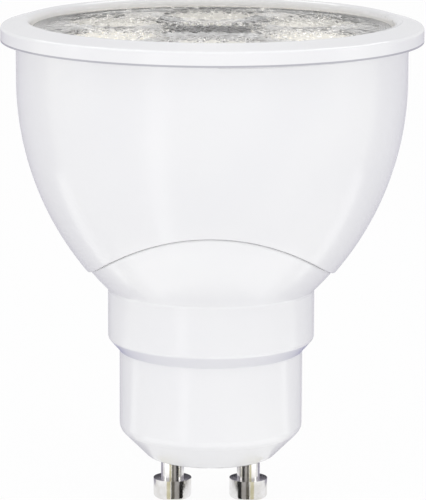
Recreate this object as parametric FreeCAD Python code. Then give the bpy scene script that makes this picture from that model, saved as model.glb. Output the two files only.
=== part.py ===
import FreeCAD, Part
import math
import os

# GU10 LED spotlight bulb, standing lens up, in millimetres.
# The origin is on the lamp's axis in the cap's bottom face, where the two pins come out.
# +Z runs along the axis to the lens, and X along the line through the pins.

# Contact pins, to the standard pitch and head
pin_pitch = 10.0
pin_neck_d = 3.0
pin_neck_length = 3.35
pin_head_d = 5.0
pin_head_height = 2.65
pin_head_edge_r = 0.5
pin_stem_d = 3.4
pin_flange_d = 4.8
pin_flange_height = 0.8
pin_tail_d = 2.4
pin_tail_length = 3.0
pin_hole_clearance = 0.05

# Lower body: cap, collar and neck in one moulding
cap_d = 23.9
cap_height = 14.14
cap_end_d = 16.6
cap_end_edge_r = 0.7
cap_bevel_height = 3.67
cap_bevel_edge_r = 1.6
cap_floor = 3.0
collar_d = 26.9
collar_chamfer_height = 1.69
collar_height = 6.47
collar_edge_r = 0.7
neck_corner_r = 0.6
body_wall = 1.6

# Upper shell: a bowl whose lower edge is cut to an arch at the front and the back
rim_wall_height = 5.15
rim_edge_r = 0.4
bowl_curve_r = 38.8
shell_wall = 1.1
arch_r = 20.0
arch_height = 10.35
arch_edge_r = 0.2

# Seam between the shell and the lower body, and the lap sleeve behind it
seam_gap = 0.15
seam_step = 0.35
lap_clearance = 0.1
sleeve_wall = 1.2
ledge_width = 2.5
ledge_thickness = 1.2

# Bezel ring around the lens
bezel_d = 54.4
bezel_overhang = 1.98
bezel_ring_width = 3.75
bezel_edge_height = 1.87
bezel_edge_r = 0.4
bezel_rise = 1.05
bezel_crest_r = 0.8
skirt_height = 1.5
skirt_clearance = 0.1

# Lens: a clear plate with a ring of light-collecting cones under it
lens_sink = 0.25
lens_edge_clearance = 0.15
lens_edge_r = 0.25
lens_flange_thickness = 1.2
lens_clearance = 0.2
lens_pocket_cover = 1.5
cell_count = 6
cell_start_angle = 90.0
cell_web = 0.4
cell_margin = 0.5
cell_foot_wall = 0.6
cell_foot_clearance = 0.2
cell_pocket_clearance = 0.3
cell_pocket_gap = 0.9

# Heat sink cup, thermal pad and LED board
sink_clearance = 0.95
sink_wall = 1.2
sink_floor = 1.6
sink_corner_r = 0.5
sink_head_room = 2.0
pad_thickness = 0.3
pad_margin = 0.6
led_board_thickness = 1.6
led_board_clearance = 0.6
led_width = 3.2
led_height = 0.7
led_dome_d = 2.6
led_dome_height = 0.6
screw_count = 2
screw_ring_d = 16.0
screw_start_angle = 0.0
screw_d = 2.4
screw_head_d = 3.8
screw_head_height = 1.3
screw_head_edge_r = 0.4
screw_end_clearance = 0.2
screw_thread_clearance = 0.05
screw_hole_clearance = 0.2
screw_slot_width = 0.5
screw_slot_length = 2.4
screw_slot_depth = 0.7

# Driver board, held on edge between two pairs of guide rails
driver_thickness = 1.2
driver_side_clearance = 0.15
driver_slot_clearance = 0.1
driver_floor_gap = 1.2
rail_depth = 1.4
rail_thickness = 1.2

# Mains leads from the pins to the driver board
lead_d = 1.2
lead_board_clearance = 0.05
lead_length = 4.2
solder_d = 1.6

# Parts on the driver board's front face, from the pins upwards
part_gap = 0.4
wire_d = 0.6
wire_drop = 0.9
fuse_d = 3.0
fuse_length = 5.2
fuse_edge_r = 0.5
fuse_wire_reach = 0.8
choke_d = 5.0
choke_waist_d = 3.8
choke_height = 5.0
choke_flange = 0.8
input_can_d = 8.0
input_can_height = 9.0
output_can_d = 7.6
output_can_height = 9.5
can_edge_r = 0.5
can_bead_depth = 0.25
can_bead_height = 1.6
can_wire_pitch = 2.5
film_width = 7.2
film_depth = 4.5
film_height = 8.6
film_edge_r = 0.5

# Transformer: two E cores around a wound bobbin
core_width = 11.0
core_height = 10.5
core_depth = 5.0
core_leg = 2.6
core_side = 1.6
core_yoke = 1.8
core_clearance = 0.1
bobbin_wall = 0.5
bobbin_flange = 0.6
bobbin_overhang = 1.9
bobbin_foot = 1.0
winding_inset = 0.2

# Parts on the driver board's back face
bridge_width = 4.8
bridge_height = 4.0
bridge_depth = 1.6
chip_width = 5.0
chip_height = 3.9
chip_depth = 1.5
chip_leg_count = 4
chip_leg_pitch = 1.27
chip_leg_width = 0.42
chip_leg_reach = 1.0
chip_leg_thickness = 0.25
diode_width = 4.3
diode_height = 2.6
diode_depth = 2.1

# Header that carries the current up to the LED board
header_margin = 1.9
header_depth = 2.5
header_seat = 3.0
header_top_clearance = 0.3
header_opening_clearance = 0.4
header_pin_count = 4
header_pin_width = 0.64
header_pin_pitch = 2.54
header_pin_stand = 0.5
header_pin_cover = 1.0
header_pin_clearance = 0.02

# Two places closer than this are the same place
same_place = 0.01

# Radii, and heights stacked from the cap's bottom face
cap_r = cap_d / 2
cap_end_r = cap_end_d / 2
cap_inner_r = cap_r - body_wall
collar_r = collar_d / 2
collar_inner_r = collar_r - body_wall
bezel_r = bezel_d / 2
bezel_opening_r = bezel_r - bezel_ring_width
rim_r = bezel_r - bezel_overhang
collar_bottom_z = cap_height + collar_chamfer_height
collar_top_z = collar_bottom_z + collar_height
curve_drop = math.sqrt((bowl_curve_r - seam_step) ** 2 - (collar_r - rim_r + bowl_curve_r) ** 2)
curve_top_z = collar_top_z + curve_drop
rim_z = curve_top_z + rim_wall_height
arch_crown_z = collar_top_z + arch_height
bezel_edge_z = rim_z + bezel_edge_height
bezel_crest_z = bezel_edge_z + bezel_rise
skirt_bottom_z = rim_z - skirt_height
flange_bottom_z = skirt_bottom_z - lens_flange_thickness
lens_top_z = bezel_edge_z - lens_sink
lens_pocket_z = lens_top_z - lens_pocket_cover

# Insets from the bowl's outer curve, working inwards
sleeve_inset = shell_wall + lap_clearance
sleeve_inner_inset = sleeve_inset + sleeve_wall
sink_inset = shell_wall + sink_clearance
sink_inner_inset = sink_inset + sink_wall

# The driver's stack of parts, which sets the height of the heat sink's floor
lead_r = lead_d / 2
tail_top_z = cap_floor + pin_flange_height + pin_tail_length
lead_top_z = tail_top_z + lead_length
driver_front_y = lead_r + lead_board_clearance
driver_back_y = driver_front_y + driver_thickness
driver_bottom_z = tail_top_z + driver_floor_gap
driver_half = math.sqrt((cap_inner_r - driver_side_clearance) ** 2 - driver_back_y ** 2)
first_row_z = lead_top_z + part_gap + max(choke_d, fuse_d) / 2
can_row_z = first_row_z + max(choke_d, fuse_d) / 2 + part_gap + wire_drop
core_row_z = can_row_z + max(input_can_height, film_height) + part_gap + wire_drop
header_bottom_z = core_row_z + max(core_height, output_can_height) + part_gap
driver_top_z = header_bottom_z + header_seat
sink_bottom_z = driver_top_z + sink_head_room
sink_floor_z = sink_bottom_z + sink_floor
led_board_bottom_z = sink_floor_z + pad_thickness
led_board_z = led_board_bottom_z + led_board_thickness
header_top_z = lens_pocket_z - header_top_clearance
header_width = (header_pin_count - 1) * header_pin_pitch + 2 * header_margin
header_back_y = driver_back_y + header_depth


def vec(x, y, z):
    return FreeCAD.Vector(x, y, z)


def line(start, end):
    return Part.LineSegment(vec(start[0], 0, start[1]), vec(end[0], 0, end[1])).toShape()


def arc(start, middle, end):
    points = [vec(r, 0, z) for r, z in (start, middle, end)]
    return Part.Arc(*points).toShape()


def path(corners):
    """Edges through (r, z) corners; a corner with a third value is rounded to that radius."""
    edges = []
    here = corners[0][:2]
    for before, corner, after in zip(corners, corners[1:], corners[2:]):
        if len(corner) == 2:
            edges.append(line(here, corner))
            here = corner
            continue
        tip = vec(corner[0], 0, corner[1])
        back = (vec(before[0], 0, before[1]) - tip).normalize()
        ahead = (vec(after[0], 0, after[1]) - tip).normalize()
        half_angle = back.getAngle(ahead) / 2
        reach = corner[2] / math.tan(half_angle)
        inward = (back + ahead).normalize()
        start = tip + back * reach
        middle = tip + inward * (corner[2] / math.sin(half_angle) - corner[2])
        end = tip + ahead * reach
        edges.append(line(here, (start.x, start.z)))
        edges.append(Part.Arc(start, middle, end).toShape())
        here = (end.x, end.z)
    edges.append(line(here, corners[-1][:2]))
    return edges


def turned(edges):
    """Solid of revolution about the lamp's axis from the edges of a closed outline."""
    outline = Part.Wire(Part.__sortEdges__(edges))
    return Part.Face(outline).revolve(vec(0, 0, 0), vec(0, 0, 1), 360)


def turned_path(corners):
    return turned(path(corners + [corners[0][:2]]))


def block(x, y, z):
    """Box between the low and high values of each axis."""
    return Part.makeBox(x[1] - x[0], y[1] - y[0], z[1] - z[0], vec(x[0], y[0], z[0]))


def rod(radius, start, end):
    axis = end - start
    return Part.makeCylinder(radius, axis.Length, start, axis)


def rounded_block(x, y, z, radius, axis):
    """Box with its edges along one axis rounded."""
    box = block(x, y, z)
    edges = [edge for edge in box.Edges if abs(edge.tangentAt(edge.FirstParameter).dot(axis)) > 0.99]
    return box.makeFillet(radius, edges)


def on_ring(radius, count, start_angle):
    """Points evenly spaced round the axis, as (x, y)."""
    angles = [math.radians(start_angle + 360 * i / count) for i in range(count)]
    return [(radius * math.cos(a), radius * math.sin(a)) for a in angles]


def bowl_radius(z, inset):
    """Radius of the bowl's curve, set in by inset, at height z."""
    below = max(curve_top_z - z, 0)
    return rim_r - bowl_curve_r + math.sqrt((bowl_curve_r - inset) ** 2 - below ** 2)


def bowl_height(radius, inset):
    """Height at which the bowl's curve, set in by inset, has this radius."""
    return curve_top_z - math.sqrt((bowl_curve_r - inset) ** 2 - (radius - rim_r + bowl_curve_r) ** 2)


def bowl_edges(inset, low_z, high_z):
    """The bowl's outline, set in by inset, between two heights."""
    low = (bowl_radius(low_z, inset), low_z)
    high = (bowl_radius(high_z, inset), high_z)
    bend_z = min(curve_top_z, high_z)
    if low_z >= curve_top_z:
        return [line(low, high)]
    middle_z = (low_z + bend_z) / 2
    bend = (bowl_radius(bend_z, inset), bend_z)
    edges = [arc(low, (bowl_radius(middle_z, inset), middle_z), bend)]
    if high_z > curve_top_z:
        edges.append(line(bend, high))
    return edges


def ring_edges(shape, radius, z):
    """Round edges of this radius about the lamp's axis, at this height."""
    found = []
    for edge in shape.Edges:
        box = edge.BoundBox
        level = abs(box.ZMin - z) < same_place and abs(box.ZMax - z) < same_place
        if level and abs(box.XMax - radius) < same_place:
            found.append(edge)
    return found


def arch_tool(radius):
    """Cylinder across the lamp whose upper side is the arch of the seam."""
    centre_z = arch_crown_z - arch_r
    return Part.makeCylinder(radius, 2 * bezel_d, vec(0, -bezel_d, centre_z), vec(0, 1, 0))


def arch_edges(shape, inset, radius):
    """Edges where the arch cuts the bowl's surface that is set in by inset."""
    centre_z = arch_crown_z - arch_r
    found = []
    for edge in shape.Edges:
        points = edge.discretize(5)[1:4]
        on_arch = all(abs(math.hypot(p.x, p.z - centre_z) - radius) < same_place for p in points)
        if not on_arch:
            continue
        if all(abs(math.hypot(p.x, p.y) - bowl_radius(p.z, inset)) < same_place for p in points):
            found.append(edge)
    return found


def upper_shell():
    low_z = collar_top_z
    edges = bowl_edges(0, low_z, rim_z)
    edges.append(line((rim_r, rim_z), (rim_r - shell_wall, rim_z)))
    edges += bowl_edges(shell_wall, low_z, rim_z)
    edges.append(line((bowl_radius(low_z, shell_wall), low_z), (bowl_radius(low_z, 0), low_z)))
    shell = turned(edges)
    shell = shell.makeFillet(rim_edge_r, ring_edges(shell, rim_r, rim_z))
    shell = shell.cut(arch_tool(arch_r))
    return shell.makeFillet(arch_edge_r, arch_edges(shell, 0, arch_r))


def lower_body():
    # The bevel's inner face runs parallel to its outer face, one wall inside it
    slope = cap_bevel_height / (cap_r - cap_end_r)
    bevel_shift = body_wall * math.hypot(1, slope)
    inner_bevel_z = slope * (cap_inner_r - cap_end_r) + bevel_shift
    floor_r = cap_end_r + (cap_floor - bevel_shift) / slope
    ledge_bottom_z = sink_bottom_z - ledge_thickness
    ledge_r = bowl_radius(sink_bottom_z, sink_inset) - ledge_width
    inner_neck_z = bowl_height(collar_inner_r, sleeve_inner_inset)

    edges = path([
        (0, 0),
        (cap_end_r, 0, cap_end_edge_r),
        (cap_r, cap_bevel_height, cap_bevel_edge_r),
        (cap_r, cap_height),
        (collar_r, collar_bottom_z, collar_edge_r),
        (collar_r, collar_top_z),
    ])
    edges += bowl_edges(seam_step, collar_top_z, sink_bottom_z)
    edges += path([
        (bowl_radius(sink_bottom_z, seam_step), sink_bottom_z),
        (ledge_r, sink_bottom_z),
        (ledge_r, ledge_bottom_z),
        (bowl_radius(ledge_bottom_z, sleeve_inner_inset), ledge_bottom_z),
    ])
    edges += bowl_edges(sleeve_inner_inset, inner_neck_z, ledge_bottom_z)
    edges += path([
        (collar_inner_r, inner_neck_z),
        (collar_inner_r, collar_bottom_z),
        (cap_inner_r, cap_height),
        (cap_inner_r, inner_bevel_z),
        (floor_r, cap_floor),
        (0, cap_floor),
        (0, 0),
    ])
    body = turned(edges)
    body = body.makeFillet(neck_corner_r, ring_edges(body, collar_r, collar_top_z))

    # Outside the arches the wall steps in to the sleeve that the shell laps over
    lap_edges = bowl_edges(sleeve_inset, collar_top_z, sink_bottom_z)
    lap_edges += path([
        (bowl_radius(sink_bottom_z, sleeve_inset), sink_bottom_z),
        (bezel_d, sink_bottom_z),
        (bezel_d, collar_top_z),
        (bowl_radius(collar_top_z, sleeve_inset), collar_top_z),
    ])
    tongue_arch = arch_r - seam_gap
    body = body.cut(turned(lap_edges).cut(arch_tool(tongue_arch)))
    body = body.makeFillet(arch_edge_r, arch_edges(body, seam_step, tongue_arch))

    # Rails on both sides of the cap hold the driver board's edges, and their feet carry it
    slot_y = (driver_front_y - driver_slot_clearance, driver_back_y + driver_slot_clearance)
    rail_y = (slot_y[0] - rail_thickness, slot_y[1] + rail_thickness)
    rail_inner_x = driver_half - rail_depth
    rail_outer_x = math.sqrt((cap_inner_r + body_wall / 2) ** 2 - rail_y[1] ** 2)
    bore = turned_path([(0, cap_floor - body_wall / 2), (cap_inner_r + body_wall / 2, cap_bevel_height),
                        (cap_inner_r + body_wall / 2, cap_height), (0, cap_height)])
    for side in (-1, 1):
        x = sorted((side * rail_inner_x, side * rail_outer_x))
        rail = block(x, rail_y, (cap_floor / 2, cap_height))
        slot = block(sorted((side * rail_inner_x, side * (driver_half + driver_side_clearance))),
                     slot_y, (driver_bottom_z, cap_height))
        body = body.fuse(rail.common(bore)).cut(slot)
    for x in (-pin_pitch / 2, pin_pitch / 2):
        hole = Part.makeCylinder(pin_stem_d / 2 + pin_hole_clearance, cap_floor, vec(x, 0, 0))
        flange_room = Part.makeCylinder(pin_flange_d / 2 + pin_hole_clearance, pin_flange_height,
                                        vec(x, 0, cap_floor))
        body = body.cut(hole).cut(flange_room)
    return body.removeSplitter()


def bezel_ring():
    skirt_r = rim_r - shell_wall - skirt_clearance
    return turned_path([
        (skirt_r, rim_z),
        (bezel_r, rim_z),
        (bezel_r, bezel_edge_z, bezel_edge_r),
        (bezel_opening_r, bezel_crest_z, bezel_crest_r),
        (bezel_opening_r, skirt_bottom_z),
        (skirt_r, skirt_bottom_z),
    ])


def cell_sizes():
    """Radius of a cone's top and of the ring of cones, from the room inside the heat sink."""
    room = bowl_radius(flange_bottom_z, sink_inner_inset) - cell_margin
    cell_r = (room - cell_web) / 3
    return cell_r, 2 * cell_r + cell_web


def lens():
    flange_r = rim_r - shell_wall - lens_clearance
    face_r = bezel_opening_r - lens_edge_clearance
    plate = turned_path([
        (0, flange_bottom_z),
        (flange_r, flange_bottom_z),
        (flange_r, skirt_bottom_z),
        (face_r, skirt_bottom_z),
        (face_r, lens_top_z, lens_edge_r),
        (0, lens_top_z),
    ])
    # Each cone stands over an LED, which sits in a pocket in the cone's foot
    cell_r, ring_r = cell_sizes()
    foot_z = led_board_z + cell_foot_clearance
    pocket_r = math.hypot(led_width, led_width) / 2 + cell_pocket_clearance
    pocket_top_z = led_board_z + led_height + led_dome_height + cell_pocket_gap
    for x, y in on_ring(ring_r, cell_count, cell_start_angle):
        foot = vec(x, y, foot_z)
        cone = Part.makeCone(pocket_r + cell_foot_wall, cell_r, flange_bottom_z - foot_z, foot)
        pocket = Part.makeCylinder(pocket_r, pocket_top_z - foot_z, foot)
        plate = plate.fuse(cone.cut(pocket))
    plate = plate.cut(header_opening(flange_bottom_z, lens_pocket_z))
    return plate.removeSplitter()


def header_opening(bottom_z, top_z):
    """Clear opening for the header through a layer of the LED deck, or up into the lens."""
    half = header_width / 2 + header_opening_clearance
    y = (driver_back_y - header_opening_clearance, header_back_y + header_opening_clearance)
    return block((-half, half), y, (bottom_z, top_z))


def screw_holes(clearance, bottom_z, top_z):
    places = on_ring(screw_ring_d / 2, screw_count, screw_start_angle)
    radius = screw_d / 2 + clearance
    return [Part.makeCylinder(radius, top_z - bottom_z, vec(x, y, bottom_z)) for x, y in places]


def heat_sink():
    bottom_r = bowl_radius(sink_bottom_z, sink_inset)
    inner_r = bowl_radius(sink_floor_z, sink_inner_inset)
    top_r = bowl_radius(flange_bottom_z, sink_inset)
    inner_top_r = bowl_radius(flange_bottom_z, sink_inner_inset)
    edges = bowl_edges(sink_inset, sink_bottom_z, flange_bottom_z)
    edges.append(line((top_r, flange_bottom_z), (inner_top_r, flange_bottom_z)))
    edges += bowl_edges(sink_inner_inset, sink_floor_z, flange_bottom_z)
    edges += path([
        (inner_r, sink_floor_z),
        (0, sink_floor_z),
        (0, sink_bottom_z),
        (bottom_r, sink_bottom_z),
    ])
    cup = turned(edges)
    cup = cup.makeFillet(sink_corner_r, ring_edges(cup, bottom_r, sink_bottom_z))
    cup = cup.cut(header_opening(sink_bottom_z, sink_floor_z))
    return cup.cut(Part.makeCompound(screw_holes(screw_thread_clearance, sink_bottom_z, sink_floor_z)))


def led_deck_layer(margin, bottom_z, top_z):
    """Disc in the heat sink's cup with the header's opening and the screw holes."""
    radius = bowl_radius(sink_floor_z, sink_inner_inset) - margin
    disc = Part.makeCylinder(radius, top_z - bottom_z, vec(0, 0, bottom_z))
    disc = disc.cut(header_opening(bottom_z, top_z))
    return disc.cut(Part.makeCompound(screw_holes(screw_hole_clearance, bottom_z, top_z)))


def leds():
    cell_r, ring_r = cell_sizes()
    half = led_width / 2
    top_z = led_board_z + led_height
    dome_r = led_dome_d / 2
    sphere_r = (dome_r ** 2 + led_dome_height ** 2) / (2 * led_dome_height)
    solids = []
    for x, y in on_ring(ring_r, cell_count, cell_start_angle):
        package = block((x - half, x + half), (y - half, y + half), (led_board_z, top_z))
        sphere = Part.makeSphere(sphere_r, vec(x, y, top_z + led_dome_height - sphere_r))
        dome = sphere.common(Part.makeCylinder(dome_r, led_dome_height, vec(x, y, top_z)))
        solids.append(package.fuse(dome))
    return Part.makeCompound(solids)


def led_board_screws():
    length = led_board_z - sink_bottom_z - screw_end_clearance
    head_r = screw_head_d / 2
    top_z = led_board_z + screw_head_height
    solids = []
    for x, y in on_ring(screw_ring_d / 2, screw_count, screw_start_angle):
        head = Part.makeCylinder(head_r, screw_head_height, vec(x, y, led_board_z))
        top_edges = [edge for edge in head.Edges if edge.BoundBox.ZMin > led_board_z]
        head = head.makeFillet(screw_head_edge_r, top_edges)
        shank = Part.makeCylinder(screw_d / 2, length, vec(x, y, led_board_z - length))
        reach = screw_slot_length / 2
        half = screw_slot_width / 2
        slot_z = (top_z - screw_slot_depth, top_z)
        cross = block((x - reach, x + reach), (y - half, y + half), slot_z)
        cross = cross.fuse(block((x - half, x + half), (y - reach, y + reach), slot_z))
        solids.append(head.fuse(shank).cut(cross))
    return Part.makeCompound(solids)


def contact_pin(x):
    neck_r = pin_neck_d / 2
    head_r = pin_head_d / 2
    head_top_z = -pin_neck_length
    tip_z = head_top_z - pin_head_height
    flange_top_z = cap_floor + pin_flange_height
    pin = turned_path([
        (0, tip_z),
        (head_r, tip_z, pin_head_edge_r),
        (head_r, head_top_z),
        (neck_r, head_top_z),
        (neck_r, 0),
        (pin_stem_d / 2, 0),
        (pin_stem_d / 2, cap_floor),
        (pin_flange_d / 2, cap_floor),
        (pin_flange_d / 2, flange_top_z),
        (pin_tail_d / 2, flange_top_z),
        (pin_tail_d / 2, tail_top_z),
        (0, tail_top_z),
    ])
    return pin.translated(vec(x, 0, 0))


def mains_leads():
    solids = []
    for x in (-pin_pitch / 2, pin_pitch / 2):
        lead = rod(lead_r, vec(x, 0, tail_top_z), vec(x, 0, lead_top_z))
        joint_z = lead_top_z - solder_d
        joint = rod(solder_d / 2, vec(x, 0, joint_z), vec(x, driver_front_y, joint_z))
        solids.append(lead.fuse(joint).removeSplitter())
    return Part.makeCompound(solids)


def driver_board():
    faces_y = (driver_front_y, driver_back_y)
    return block((-driver_half, driver_half), faces_y, (driver_bottom_z, driver_top_z))


def fuse_resistor():
    body_r = fuse_d / 2
    y = driver_front_y - part_gap - body_r
    right_x = -part_gap - fuse_wire_reach - wire_d / 2
    left_x = right_x - fuse_length
    body = rod(body_r, vec(left_x, y, first_row_z), vec(right_x, y, first_row_z))
    body = body.makeFillet(fuse_edge_r, [edge for edge in body.Edges if edge.Closed])
    for end_x, reach in ((left_x, -fuse_wire_reach), (right_x, fuse_wire_reach)):
        tip = vec(end_x + reach, y, first_row_z)
        body = body.fuse(rod(wire_d / 2, vec(end_x - reach, y, first_row_z), tip))
        body = body.fuse(Part.makeSphere(wire_d / 2, tip))
        body = body.fuse(rod(wire_d / 2, tip, vec(tip.x, driver_front_y, first_row_z)))
    return body.removeSplitter()


def input_choke():
    radius = choke_d / 2
    drum = turned_path([
        (0, 0),
        (radius, 0),
        (radius, choke_flange),
        (choke_waist_d / 2, choke_flange),
        (choke_waist_d / 2, choke_height - choke_flange),
        (radius, choke_height - choke_flange),
        (radius, choke_height),
        (0, choke_height),
    ])
    drum.rotate(vec(0, 0, 0), vec(1, 0, 0), 90)
    return drum.translated(vec(part_gap + radius, driver_front_y, first_row_z))


def electrolytic(diameter, height, x, bottom_z):
    """Round capacitor standing along the driver board, its two wires bent back into the board."""
    radius = diameter / 2
    y = driver_front_y - part_gap / 2 - radius
    waist_r = radius - can_bead_depth
    can = turned_path([
        (0, 0),
        (radius, 0, can_edge_r),
        (radius, can_bead_height - can_bead_depth),
        (waist_r, can_bead_height),
        (radius, can_bead_height + can_bead_depth),
        (radius, height, can_edge_r),
        (0, height),
    ]).translated(vec(x, y, bottom_z))
    bend_z = bottom_z - wire_drop + wire_d / 2
    for wire_x in (x - can_wire_pitch / 2, x + can_wire_pitch / 2):
        bend = vec(wire_x, y, bend_z)
        can = can.fuse(rod(wire_d / 2, bend, vec(wire_x, y, bottom_z)))
        can = can.fuse(Part.makeSphere(wire_d / 2, bend))
        can = can.fuse(rod(wire_d / 2, bend, vec(wire_x, driver_front_y, bend_z)))
    return can.removeSplitter()


def film_capacitor():
    x = (part_gap, part_gap + film_width)
    y = (driver_front_y - film_depth, driver_front_y)
    z = (can_row_z, can_row_z + film_height)
    return rounded_block(x, y, z, film_edge_r, vec(0, 1, 0))


# The transformer stands on the board's left, with its winding's axis upright
core_x = -core_width / 2 + core_leg / 2
core_y = driver_front_y - bobbin_foot - bobbin_overhang - core_depth / 2
core_top_z = core_row_z + core_height
window_width = (core_width - core_leg - 2 * core_side) / 2
window_z = (core_row_z + core_yoke, core_top_z - core_yoke)
tube_half_x = core_leg / 2 + core_clearance + bobbin_wall
tube_half_y = core_depth / 2 + core_clearance + bobbin_wall
flange_half_x = core_leg / 2 + window_width - core_clearance
flange_half_y = core_depth / 2 + bobbin_overhang
bobbin_z = (window_z[0] + core_clearance, window_z[1] - core_clearance)


def around_core(half_x, half_y, z):
    """Box centred on the transformer's middle leg."""
    return block((core_x - half_x, core_x + half_x), (core_y - half_y, core_y + half_y), z)


def transformer_core():
    core = around_core(core_width / 2, core_depth / 2, (core_row_z, core_top_z))
    inner = core_leg / 2
    outer = inner + window_width
    for low, high in ((-outer, -inner), (inner, outer)):
        y = (core_y - core_depth, core_y + core_depth)
        core = core.cut(block((core_x + low, core_x + high), y, window_z))
    return core


def transformer_bobbin():
    tube = around_core(tube_half_x, tube_half_y, bobbin_z)
    lower = around_core(flange_half_x, flange_half_y, (bobbin_z[0], bobbin_z[0] + bobbin_flange))
    upper = around_core(flange_half_x, flange_half_y, (bobbin_z[1] - bobbin_flange, bobbin_z[1]))
    bobbin = tube.fuse(lower).fuse(upper)
    for flange in (lower, upper):
        box = flange.BoundBox
        foot = block((box.XMin, box.XMax), (box.YMax, driver_front_y), (box.ZMin, box.ZMax))
        bobbin = bobbin.fuse(foot)
    leg = around_core(core_leg / 2 + core_clearance, core_depth / 2 + core_clearance, bobbin_z)
    return bobbin.cut(leg).removeSplitter()


def transformer_winding():
    z = (bobbin_z[0] + bobbin_flange, bobbin_z[1] - bobbin_flange)
    coil = around_core(flange_half_x - winding_inset, flange_half_y - winding_inset, z)
    upright = [edge for edge in coil.Edges if abs(edge.tangentAt(edge.FirstParameter).z) > 0.99]
    coil = coil.makeFillet(flange_half_x - winding_inset - tube_half_x, upright)
    return coil.cut(around_core(tube_half_x, tube_half_y, z))


def back_block(width, height, depth, x, bottom_z):
    """Moulded part on the driver board's back face."""
    return block((x - width / 2, x + width / 2), (driver_back_y, driver_back_y + depth),
                 (bottom_z, bottom_z + height))


def driver_chip():
    chip = back_block(chip_width, chip_height, chip_depth, 0, can_row_z)
    for i in range(chip_leg_count):
        x = (i - (chip_leg_count - 1) / 2) * chip_leg_pitch
        leg_height = chip_height + 2 * chip_leg_reach
        leg = back_block(chip_leg_width, leg_height, chip_leg_thickness, x, can_row_z - chip_leg_reach)
        chip = chip.fuse(leg)
    return chip.removeSplitter()


def led_header():
    half = header_width / 2
    body = block((-half, half), (driver_back_y, header_back_y), (header_bottom_z, header_top_z))
    for pin in header_pins(header_pin_clearance):
        body = body.cut(pin)
    return body


def header_pins(clearance):
    """The header's square pins, or the holes for them when given a clearance."""
    half = header_pin_width / 2 + clearance
    y = driver_back_y + header_depth / 2
    z = (header_bottom_z - header_pin_stand, header_top_z - header_pin_cover)
    middles = [(i - (header_pin_count - 1) / 2) * header_pin_pitch for i in range(header_pin_count)]
    return [block((x - half, x + half), (y - half, y + half), z) for x in middles]


input_can_x = -part_gap / 2 - input_can_d / 2
output_can_x = core_x + core_width / 2 + part_gap + output_can_d / 2

nodes = {
    "bezel_ring": bezel_ring(),
    "lens": lens(),
    "upper_shell": upper_shell(),
    "lower_body": lower_body(),
    "contact_pin_left": contact_pin(-pin_pitch / 2),
    "contact_pin_right": contact_pin(pin_pitch / 2),
    "heat_sink": heat_sink(),
    "thermal_pad": led_deck_layer(led_board_clearance + pad_margin, sink_floor_z, led_board_bottom_z),
    "led_board": led_deck_layer(led_board_clearance, led_board_bottom_z, led_board_z),
    "leds": leds(),
    "led_board_screws": led_board_screws(),
    "led_header": led_header(),
    "led_header_pins": Part.makeCompound(header_pins(0)),
    "driver_board": driver_board(),
    "mains_leads": mains_leads(),
    "fuse_resistor": fuse_resistor(),
    "input_choke": input_choke(),
    "input_capacitor": electrolytic(input_can_d, input_can_height, input_can_x, can_row_z),
    "film_capacitor": film_capacitor(),
    "transformer_core": transformer_core(),
    "transformer_bobbin": transformer_bobbin(),
    "transformer_winding": transformer_winding(),
    "output_capacitor": electrolytic(output_can_d, output_can_height, output_can_x, core_row_z),
    "bridge_rectifier": back_block(bridge_width, bridge_height, bridge_depth, 0, driver_bottom_z + part_gap),
    "driver_chip": driver_chip(),
    "output_diode": back_block(diode_width, diode_height, diode_depth, 0, core_row_z),
}

os.makedirs("parts", exist_ok=True)
for name, shape in nodes.items():
    shape.exportStep(f"parts/{name}.step")
    print(f"{name}: {len(shape.Solids)} solids, {shape.Volume:.1f} mm3, valid {shape.isValid()}")
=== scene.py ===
import bmesh
import bpy
import math
import random
from mathutils.kdtree import KDTree
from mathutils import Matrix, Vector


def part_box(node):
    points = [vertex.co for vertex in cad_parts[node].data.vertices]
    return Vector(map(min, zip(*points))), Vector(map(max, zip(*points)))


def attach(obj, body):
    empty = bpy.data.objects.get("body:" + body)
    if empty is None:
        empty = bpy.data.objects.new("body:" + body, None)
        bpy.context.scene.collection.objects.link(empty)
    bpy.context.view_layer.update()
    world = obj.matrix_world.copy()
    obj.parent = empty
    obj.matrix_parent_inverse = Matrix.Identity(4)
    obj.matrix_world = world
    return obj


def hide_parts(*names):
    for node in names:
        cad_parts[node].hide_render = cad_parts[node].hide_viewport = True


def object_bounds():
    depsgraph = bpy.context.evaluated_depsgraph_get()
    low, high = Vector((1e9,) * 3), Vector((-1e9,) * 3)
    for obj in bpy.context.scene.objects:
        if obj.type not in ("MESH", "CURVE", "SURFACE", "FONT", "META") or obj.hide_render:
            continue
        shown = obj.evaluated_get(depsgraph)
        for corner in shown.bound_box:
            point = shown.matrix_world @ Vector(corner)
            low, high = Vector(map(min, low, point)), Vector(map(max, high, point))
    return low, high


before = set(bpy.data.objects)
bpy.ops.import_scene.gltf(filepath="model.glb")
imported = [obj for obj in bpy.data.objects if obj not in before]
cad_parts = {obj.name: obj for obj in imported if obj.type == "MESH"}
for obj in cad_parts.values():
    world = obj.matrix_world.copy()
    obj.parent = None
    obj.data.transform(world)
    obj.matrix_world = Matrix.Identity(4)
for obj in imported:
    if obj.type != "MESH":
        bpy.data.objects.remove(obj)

cad_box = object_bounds()
mm = 0.001

# Lower body: cap, collar and neck of a GU10 spotlight, injection-moulded in one piece.
# White polycarbonate with a satin-gloss skin from a polished mould, which shows soft reflections.


def linear(hex_colour):
    """sRGB hex colour as linear red, green, blue and alpha."""
    channels = [int(hex_colour[i:i + 2], 16) / 255 for i in (1, 3, 5)]
    return [c / 12.92 if c <= 0.04045 else ((c + 0.055) / 1.055) ** 2.4 for c in channels] + [1.0]


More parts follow.
